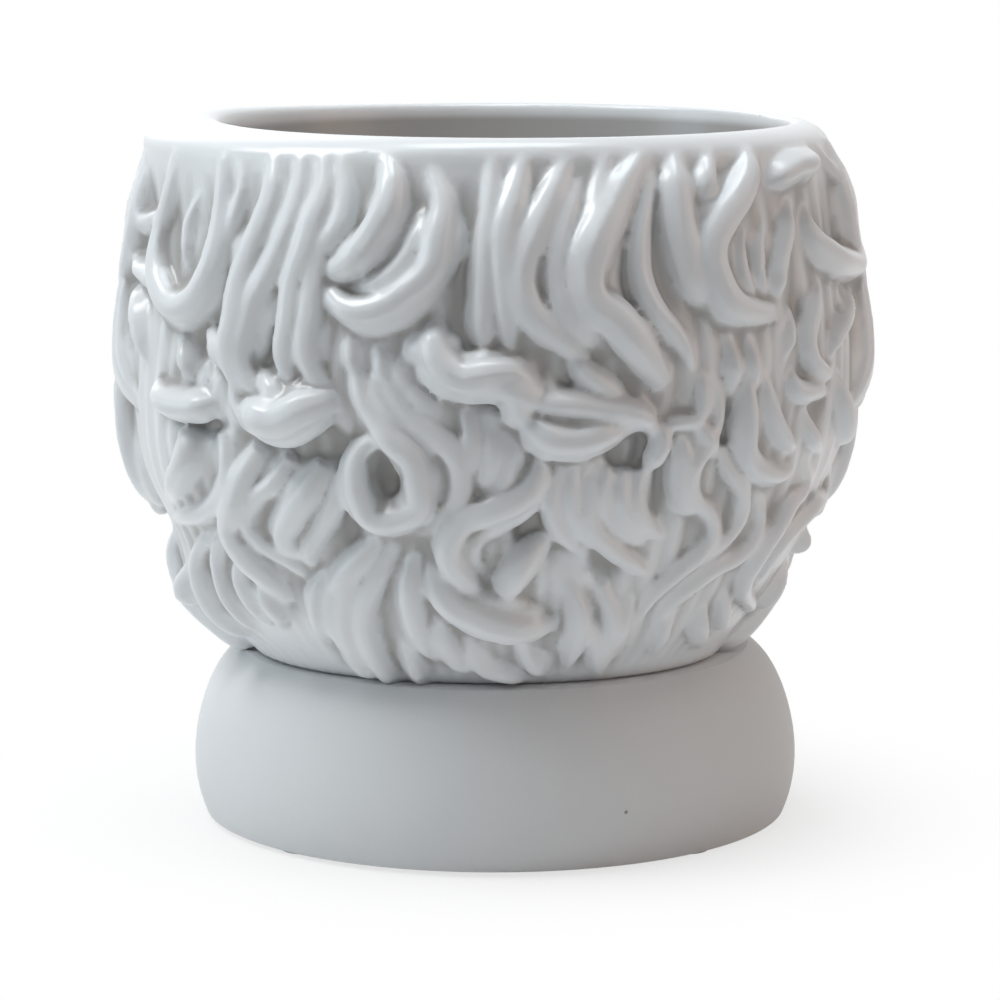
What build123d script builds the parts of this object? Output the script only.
"""A head planter: a cast classical head with curly hair, cut off level at the hairline to take a
plant, seated on a separate hollow shoulder base, with a rubber drain plug and four foot pads.

Frame: millimetres, +Z up, face towards -Y, back of the head towards +Y.
Origin: on the standing surface, under the middle of the base.
A turn is an angle round the head as a share of 360 degrees: 0 at the back, 0.25 at +X, 0.5 in front.
"""

import os
from math import cos, pi, radians, sin

from build123d import *

# Overall sizes
rim_height = 183.0
seat_height = 45.0
hair_half_width = 94.5
hair_reach = 90.0
face_half_width = 66.0
face_reach = 84.0
cut_overrun = 20.0
head_height = rim_height - seat_height

# Locks: width at the root, how far the crest stands out of the mass of hair, and how deep it is rooted
lock_width = 21.0
lock_rise = 6.2
lock_root = 6.0

# Face
nose_rise = 17.0
nose_half_width = 11.5
nose_sink = 4.0
eye_radius = 12.0
eye_spacing = 23.0
mouth_half_width = 19.0
lip_rise = 4.2
upper_lip_height = 3.2
lower_lip_height = 4.2
ear_height = 46.0
ear_depth = 27.0
ear_thickness = 15.0
ear_reach = 93.0
ear_back = 6.0
ear_flare_turn = 0.067

# Plant cavity and drain
opening_half_width = 74.0
opening_half_depth = 73.0
opening_shift = -3.0
floor_thickness = 9.0
drain_radius = 7.0

# Foot ring of the head, which locates it in the base
ring_radius = 45.4
ring_width = 6.4
ring_depth = 6.0
ring_clearance = 0.6

# Shoulder base
base_radius = 79.8
base_wall = 6.5
base_seat_radius = 64.0
foot_radius = 77.0
foot_width = 17.0
foot_thickness = 7.0

# Foot pads
pad_count = 4
pad_radius = 6.0
pad_thickness = 2.4
pad_proud = 1.2
pad_clearance = 0.3
pad_first_angle = 45.0
pad_ring_radius = foot_radius - foot_width / 2

# Drain plug
plug_clearance = 0.3
plug_flange_radius = 13.0
plug_flange_thickness = 3.0
plug_stem_below = 4.0
plug_knob_radius = 6.0
plug_knob_height = 12.0
plug_taper = 1.2
plug_neck_radius = 3.6

# Mass of hair under the locks: height share, then +X side, -X side, front and back
hair_level_shares = [
    (0.0, 0.645, 0.62, -0.41, 0.667),
    (0.05, 0.74, 0.67, -0.44, 0.735),
    (0.11, 0.835, 0.74, -0.478, 0.805),
    (0.2, 0.877, 0.83, -0.5, 0.88),
    (0.3, 0.93, 0.895, -0.53, 0.93),
    (0.39, 0.984, 0.958, -0.544, 0.967),
    (0.5, 1.0, 0.99, -0.567, 0.994),
    (0.62, 0.995, 0.984, -0.611, 1.0),
    (0.75, 0.965, 0.947, -0.70, 0.975),
    (0.88, 0.947, 0.925, -0.811, 0.938),
    (1.0, 0.952, 0.895, -0.856, 0.88),
]
hair_middle_share = 0.137
ring_points = 8

# Face and skull: height share, then half width and front
face_level_shares = [
    (0.0, 0.60, 0.76),
    (0.05, 0.66, 0.95),
    (0.10, 0.72, 1.01),
    (0.165, 0.79, 0.965),
    (0.23, 0.86, 0.985),
    (0.35, 0.94, 0.97),
    (0.48, 0.98, 0.955),
    (0.60, 1.0, 0.93),
    (0.68, 1.0, 0.985),
    (0.82, 1.0, 1.0),
    (1.0, 1.0, 0.95),
]
face_side_shares = [(0.36, 0.03), (0.66, 0.13), (0.88, 0.31), (1.0, 0.56), (0.86, 0.83), (0.5, 0.96)]
face_back_share = 0.5

# Plant cavity: share of its depth from the floor up, then half width, front and back
cavity_level_shares = [
    (0.0, 0.60, -0.66, 0.70),
    (0.2, 0.77, -0.78, 0.92),
    (0.45, 0.92, -0.86, 1.07),
    (0.72, 0.97, -0.90, 1.07),
    (1.0, 1.0, -1.0, 1.0),
]

# Nose: height share, then half width and rise, from its root to its base
nose_level_shares = [
    (0.66, 0.50, 0.12),
    (0.59, 0.42, 0.34),
    (0.48, 0.58, 0.66),
    (0.39, 0.95, 1.0),
    (0.352, 1.0, 0.62),
]
# Ear: share of its height from its middle, size of the section, share of its depth further back
ear_level_shares = [
    (-0.5, 0.35, -0.18),
    (-0.38, 0.62, -0.14),
    (-0.1, 0.8, -0.04),
    (0.2, 1.0, 0.04),
    (0.42, 0.78, 0.08),
    (0.5, 0.45, 0.08),
]
ear_hollow_shares = [(-0.26, 0.3, -0.14), (0.0, 0.52, -0.1), (0.3, 0.4, -0.05)]
eye_height_share = 0.59
ear_height_share = 0.43
socket_share = 1.1
socket_forward_share = 0.62
upper_lip_share = 0.252
lower_lip_share = 0.212
# Lip sections from corner to corner: place along the mouth, then size of the section
lip_station_shares = [(-1.0, 0.12), (-0.55, 0.68), (0.0, 1.0), (0.55, 0.68), (1.0, 0.12)]

# Outline of the shoulder base from its foot to its seat: share of the radius, share of the seat
base_outline_shares = [(0.965, 0.0), (1.0, 0.29), (0.984, 0.57), (0.952, 0.75), (0.905, 0.90), (0.84, 1.0)]

# Width of a lock at its middle as a share of its root, and where its middle bulges
lock_middle_share = 0.92
lock_cap_share = 0.35
lock_step_share = 0.01
# Sections of a lock from its root in the hair to its crest: level, then size; the tips draw back with it
lock_section_shares = [(0.0, 1.0), (0.72, 0.86), (1.0, 0.42)]
lock_draw_share = 0.3

# Locks: turn and height share of the root, length as a share of the head, bend on the way down and
# lean of the root, both in degrees towards the next turn, and width share
lock_shares = [
    # Back of the head, upper row, under the rim
    (0.185, 0.90, 0.30, -150, 10, 0.85),
    (0.140, 0.92, 0.30, -60, 10, 0.75),
    (0.105, 0.92, 0.44, -75, 15, 0.95),
    (0.055, 0.92, 0.28, 60, -5, 0.75),
    (0.020, 0.93, 0.36, 115, -12, 1.15),
    (-0.015, 0.92, 0.34, -20, 0, 0.70),
    (-0.050, 0.92, 0.42, -80, 22, 1.10),
    (-0.085, 0.92, 0.44, -75, 20, 1.00),
    (-0.122, 0.92, 0.44, -40, 5, 0.85),
    (-0.150, 0.90, 0.34, -105, 20, 1.00),
    (-0.205, 0.90, 0.32, -100, 12, 0.95),
    # Back of the head, middle rows
    (0.172, 0.60, 0.18, -80, 10, 0.85),
    (0.140, 0.56, 0.30, 60, -20, 0.90),
    (0.078, 0.66, 0.34, 75, -30, 0.95),
    (0.052, 0.66, 0.36, -60, 25, 0.80),
    (0.030, 0.68, 0.24, -110, 10, 0.85),
    (0.058, 0.46, 0.20, 170, -30, 0.80),
    (-0.012, 0.52, 0.30, -95, 0, 1.00),
    (-0.012, 0.42, 0.22, 80, -10, 0.80),
    (-0.100, 0.62, 0.36, 55, -25, 0.90),
    (-0.138, 0.60, 0.28, -45, 8, 0.90),
    (-0.178, 0.60, 0.26, -70, 10, 0.85),
    # Back of the head, lower rows
    (0.165, 0.36, 0.22, -70, 25, 0.90),
    (0.130, 0.36, 0.30, -75, 30, 0.90),
    (0.100, 0.40, 0.26, -60, 30, 0.80),
    (0.062, 0.27, 0.26, -75, 35, 0.90),
    (0.030, 0.26, 0.24, -70, 30, 0.80),
    (0.005, 0.40, 0.34, -110, 20, 1.05),
    (-0.045, 0.44, 0.26, -85, 20, 0.95),
    (-0.075, 0.46, 0.26, 70, -20, 0.80),
    (-0.110, 0.44, 0.40, 60, -25, 0.85),
    (-0.145, 0.38, 0.34, 45, 0, 0.85),
    (-0.180, 0.36, 0.28, 50, 0, 0.80),
    (-0.030, 0.20, 0.16, 40, 0, 0.75),
    (-0.075, 0.20, 0.18, 45, 0, 0.75),
    # Sides, above and behind the ears
    (0.225, 0.92, 0.36, -70, 10, 1.00),
    (0.262, 0.905, 0.333, -70, 5, 0.90),
    (0.300, 0.89, 0.362, 80, -10, 0.95),
    (0.338, 0.877, 0.319, -90, 15, 0.90),
    (0.318, 0.558, 0.290, -80, 10, 0.85),
    (0.350, 0.600, 0.290, 70, -10, 0.75),
    (0.330, 0.312, 0.246, 60, -10, 0.70),
    (0.290, 0.240, 0.217, -60, 10, 0.75),
    (0.225, 0.32, 0.24, -70, 10, 0.85),
    (-0.235, 0.92, 0.52, 35, 0, 1.10),
    (-0.262, 0.905, 0.362, 60, -5, 0.90),
    (-0.300, 0.89, 0.348, -80, 10, 0.95),
    (-0.338, 0.877, 0.319, 90, -15, 0.90),
    (-0.318, 0.558, 0.290, 80, -10, 0.85),
    (-0.350, 0.600, 0.290, -70, 10, 0.75),
    (-0.330, 0.312, 0.246, -60, 10, 0.70),
    (-0.290, 0.240, 0.217, 60, -10, 0.75),
    (-0.215, 0.30, 0.22, 60, -10, 0.85),
    # Fringe over the forehead
    (0.372, 0.935, 0.319, -100, 15, 0.85),
    (-0.372, 0.935, 0.319, 100, -15, 0.85),
    (0.402, 0.955, 0.261, 110, -20, 0.75),
    (-0.402, 0.955, 0.261, -110, 20, 0.75),
    (0.432, 0.96, 0.217, -120, 20, 0.70),
    (-0.432, 0.96, 0.217, 120, -20, 0.70),
    (0.462, 0.96, 0.188, 110, -20, 0.65),
    (-0.462, 0.96, 0.188, -120, 20, 0.65),
    (0.488, 0.96, 0.174, -110, 10, 0.60),
    (-0.486, 0.96, 0.160, 110, -10, 0.60),
]


def height_at(share):
    """Height of a share of the head above its seat."""
    return seat_height + share * head_height


def hair_sizes(share):
    """The four reaches of the mass of hair at a height share, between the rows of its table."""
    for low, high in zip(hair_level_shares, hair_level_shares[1:]):
        if share <= high[0]:
            blend = max(0.0, (share - low[0]) / (high[0] - low[0]))
            return [a + blend * (b - a) for a, b in zip(low[1:], high[1:])]
    return list(hair_level_shares[-1][1:])


def face_front(share):
    """How far the face reaches towards -Y at a height share, between the rows of its table."""
    for low, high in zip(face_level_shares, face_level_shares[1:]):
        if share <= high[0]:
            blend = max(0.0, (share - low[0]) / (high[0] - low[0]))
            return -face_reach * (low[2] + blend * (high[2] - low[2]))
    return -face_reach * face_level_shares[-1][2]


def hair_point(turn, share, outside=0.0):
    """A point on the mass of hair, or outside it by a distance, with its outward direction."""
    plus_x, minus_x, front, back = hair_sizes(share)
    middle = hair_middle_share * hair_reach
    across = hair_half_width * (plus_x if sin(2 * pi * turn) > 0 else minus_x)
    along = hair_reach * back - middle if cos(2 * pi * turn) > 0 else middle - hair_reach * front
    outward = Vector(sin(2 * pi * turn) / across, cos(2 * pi * turn) / along, 0).normalized()
    on_hair = Vector(across * sin(2 * pi * turn), middle + along * cos(2 * pi * turn), height_at(share))
    return on_hair + outward * outside, outward


def lock(turn, share, length, bend, lean, width):
    """One lock: a horn that tapers along a bent course from its root to its tip, with sloping sides."""
    reach = length * head_height
    radius = reach / radians(bend)
    half = lock_width * width / 2

    def along(way, off):
        """A point at a share of the way from root to tip, off the middle line by a distance."""
        angle = way * radians(bend)
        across = radius * (1 - cos(angle)) + off * cos(angle)
        down = radius * sin(angle) - off * sin(angle)
        tilt = radians(lean)
        return Vector(across * cos(tilt) + down * sin(tilt), down * cos(tilt) - across * sin(tilt))

    middle = along(0.5, 0)
    middle_turn = turn + middle.X / (2 * pi * hair_reach)
    middle_share = share - middle.Y / head_height
    seat, outward = hair_point(middle_turn, middle_share)
    lower = hair_point(middle_turn, middle_share - lock_step_share)[0]
    beside = hair_point(middle_turn + lock_step_share, middle_share)[0]
    normal = (beside - seat).cross(lower - seat).normalized()
    normal = normal if normal.dot(outward) > 0 else -normal
    sideways = Vector(0, 0, -1).cross(normal)
    root = Plane(seat, x_dir=sideways, z_dir=normal).from_local_coords(-middle)
    with BuildPart() as one_lock:
        for level, size in lock_section_shares:
            height = level * (lock_root + lock_rise * width) - lock_root
            start = lock_draw_share * (1 - size)
            side = half * size
            back_of_root = along(start - lock_cap_share * side / reach, 0)
            tip = along(1 - start, 0)
            with BuildSketch(Plane(root + normal * height, x_dir=sideways, z_dir=normal)):
                with BuildLine():
                    ThreePointArc(along(start, -side), along(0.5, -side * lock_middle_share), tip)
                    ThreePointArc(tip, along(0.5, side * lock_middle_share), along(start, side))
                    ThreePointArc(along(start, side), back_of_root, along(start, -side))
                make_face()
        loft(ruled=True)
    return one_lock.part


with BuildPart() as hair:
    for share, *_ in hair_level_shares:
        with BuildSketch(Plane.XY.offset(height_at(share))):
            with BuildLine():
                ring = [hair_point(0.5 + step / ring_points, share)[0] for step in range(ring_points)]
                Spline(*[(point.X, point.Y) for point in ring], periodic=True)
            make_face()
    loft(ruled=True)

with BuildPart() as face:
    for share, half_width, front in face_level_shares:
        nearest = -face_reach * front
        depth = face_reach * (front + face_back_share)
        side = [(face_half_width * half_width * x, nearest + depth * y) for x, y in face_side_shares]
        with BuildSketch(Plane.XY.offset(height_at(share))):
            with BuildLine():
                others = [(-x, y) for x, y in reversed(side)]
                Spline((0, nearest + depth), *others, (0, nearest), *side, periodic=True)
            make_face()
    loft(ruled=True)

with BuildPart() as nose:
    for share, half_width, rise in nose_level_shares:
        bridge = face_front(share)
        side = nose_half_width * half_width
        with BuildSketch(Plane.XY.offset(height_at(share))):
            with BuildLine():
                ThreePointArc((-side, bridge + nose_sink), (0, bridge - nose_rise * rise), (side, bridge + nose_sink))
                Line((side, bridge + nose_sink), (-side, bridge + nose_sink))
            make_face()
    loft()


def lip(share, thickness):
    """One lip, from corner to corner of the mouth, following the curve of the face."""
    with BuildPart() as one_lip:
        for place, size in lip_station_shares:
            with BuildSketch(Plane.YZ.offset(mouth_half_width * place)):
                with Locations((face_front(share) + lip_rise * place * place, height_at(share))):
                    Ellipse(size * lip_rise, size * thickness)
        loft()
    return one_lip.part


def ear(hand):
    """An ear on the +X side for hand 1 or the -X side for hand -1, with its hollow."""
    turned = (cos(ear_flare_turn * 2 * pi), -hand * sin(ear_flare_turn * 2 * pi), 0)
    with BuildPart() as one_ear:
        for up, size, back in ear_level_shares:
            place = Vector(hand * ear_reach, ear_back + ear_depth * back, height_at(ear_height_share) + ear_height * up)
            with BuildSketch(Plane(place, x_dir=turned, z_dir=(0, 0, 1))):
                Ellipse(size * ear_thickness / 2, size * ear_depth / 2)
        loft()
        for up, size, back in ear_hollow_shares:
            place = Vector(
                hand * (ear_reach + ear_thickness / 2),
                ear_back + ear_depth * back,
                height_at(ear_height_share) + ear_height * up,
            )
            with BuildSketch(Plane(place, x_dir=turned, z_dir=(0, 0, 1))):
                Ellipse(size * ear_thickness / 2, size * ear_depth / 2)
        loft(mode=Mode.SUBTRACT)
    return one_ear.part


with BuildPart() as cavity:
    floor_top = seat_height + floor_thickness
    for share, half_width, front, back in cavity_level_shares:
        across = opening_half_width * half_width
        along = opening_half_depth * (back - front) / 2
        middle = opening_half_depth * (front + back) / 2
        with BuildSketch(Plane.XY.offset(floor_top + share * (rim_height - floor_top))):
            with BuildLine():
                turns = [2 * pi * step / ring_points for step in range(ring_points)]
                ring = [(opening_shift + across * sin(at), middle + along * cos(at)) for at in turns]
                Spline(*ring, periodic=True)
            make_face()
    loft(ruled=True)

lips = [lip(upper_lip_share, upper_lip_height), lip(lower_lip_share, lower_lip_height)]
ears = [ear(1), ear(-1)]
locks = [lock(*row) for row in lock_shares]
eye_places = [(hand * eye_spacing, face_front(eye_height_share), height_at(eye_height_share)) for hand in (-1, 1)]

with BuildPart() as head_pot:
    add(hair.part)
    add(face.part)
    with Locations(*[(x, y - eye_radius * socket_forward_share, z) for x, y, z in eye_places]):
        Sphere(eye_radius * socket_share, mode=Mode.SUBTRACT)
    with Locations(*[(x, y + eye_radius, z) for x, y, z in eye_places]):
        Sphere(eye_radius)
    add(nose.part)
    add(lips)
    add(ears)
    add(locks)
    split(bisect_by=Plane.XY.offset(seat_height), keep=Keep.TOP)
    add(cavity.part, mode=Mode.SUBTRACT)
    with BuildSketch(Plane.XY.offset(rim_height)):
        with Locations((opening_shift, 0)):
            Ellipse(opening_half_width, opening_half_depth)
    extrude(amount=cut_overrun, mode=Mode.SUBTRACT)
    with BuildSketch(Plane.XY.offset(seat_height)):
        Circle(ring_radius)
        Circle(ring_radius - ring_width, mode=Mode.SUBTRACT)
    extrude(amount=-ring_depth)
    with Locations((0, 0, seat_height)):
        Cylinder(drain_radius, 2 * floor_thickness + cut_overrun, mode=Mode.SUBTRACT)

with BuildPart() as shoulder_base:
    with BuildSketch(Plane.XZ):
        with BuildLine():
            low = pad_proud
            outline = [
                (base_radius * across, low + (seat_height - low) * up) for across, up in base_outline_shares
            ]
            Spline(*outline)
            neck = ring_radius + ring_clearance
            Polyline(
                outline[-1],
                (neck, seat_height),
                (neck, seat_height - base_wall),
                (base_seat_radius, seat_height - base_wall),
            )
            inner = [(x - base_wall, z) for x, z in reversed(outline[1:-2])]
            Spline((base_seat_radius, seat_height - base_wall), *inner)
            Polyline(
                inner[-1],
                (foot_radius - base_wall, low + foot_thickness),
                (foot_radius - foot_width, low + foot_thickness),
                (foot_radius - foot_width, low),
                outline[0],
            )
        make_face()
    revolve(axis=Axis.Z)
    with BuildSketch(Plane.XY.offset(low)):
        with PolarLocations(pad_ring_radius, pad_count, start_angle=pad_first_angle):
            Circle(pad_radius + pad_clearance)
    extrude(amount=pad_thickness - pad_proud, mode=Mode.SUBTRACT)

with BuildPart() as drain_plug:
    with BuildSketch(Plane.XZ):
        with BuildLine():
            stem = drain_radius - plug_clearance
            tip = stem - plug_taper
            Polyline(
                (0, seat_height - plug_stem_below),
                (tip, seat_height - plug_stem_below),
                (stem, seat_height),
                (stem, floor_top),
                (plug_flange_radius, floor_top),
                (plug_flange_radius, floor_top + plug_flange_thickness),
                (plug_neck_radius, floor_top + plug_flange_thickness),
                (plug_neck_radius, floor_top + plug_knob_height - plug_knob_radius),
                (plug_knob_radius, floor_top + plug_knob_height - plug_knob_radius / 2),
                (plug_knob_radius, floor_top + plug_knob_height),
                (0, floor_top + plug_knob_height),
                close=True,
            )
        make_face()
    revolve(axis=Axis.Z)

foot_pads = []
for number, place in enumerate(PolarLocations(pad_ring_radius, pad_count, start_angle=pad_first_angle), 1):
    with BuildPart() as foot_pad:
        with BuildSketch(Plane(place.position, z_dir=(0, 0, 1))):
            Circle(pad_radius)
        extrude(amount=pad_thickness)
    foot_pad.part.label = f"foot_pad_{number}"
    foot_pads.append(foot_pad.part)

head_pot.part.label = "head_pot"
shoulder_base.part.label = "shoulder_base"
drain_plug.part.label = "drain_plug"

os.makedirs("parts", exist_ok=True)
for piece in [head_pot.part, shoulder_base.part, drain_plug.part, *foot_pads]:
    export_step(piece, f"parts/{piece.label}.step")
    print(piece.label, piece.is_valid, len(piece.solids()), round(piece.volume))
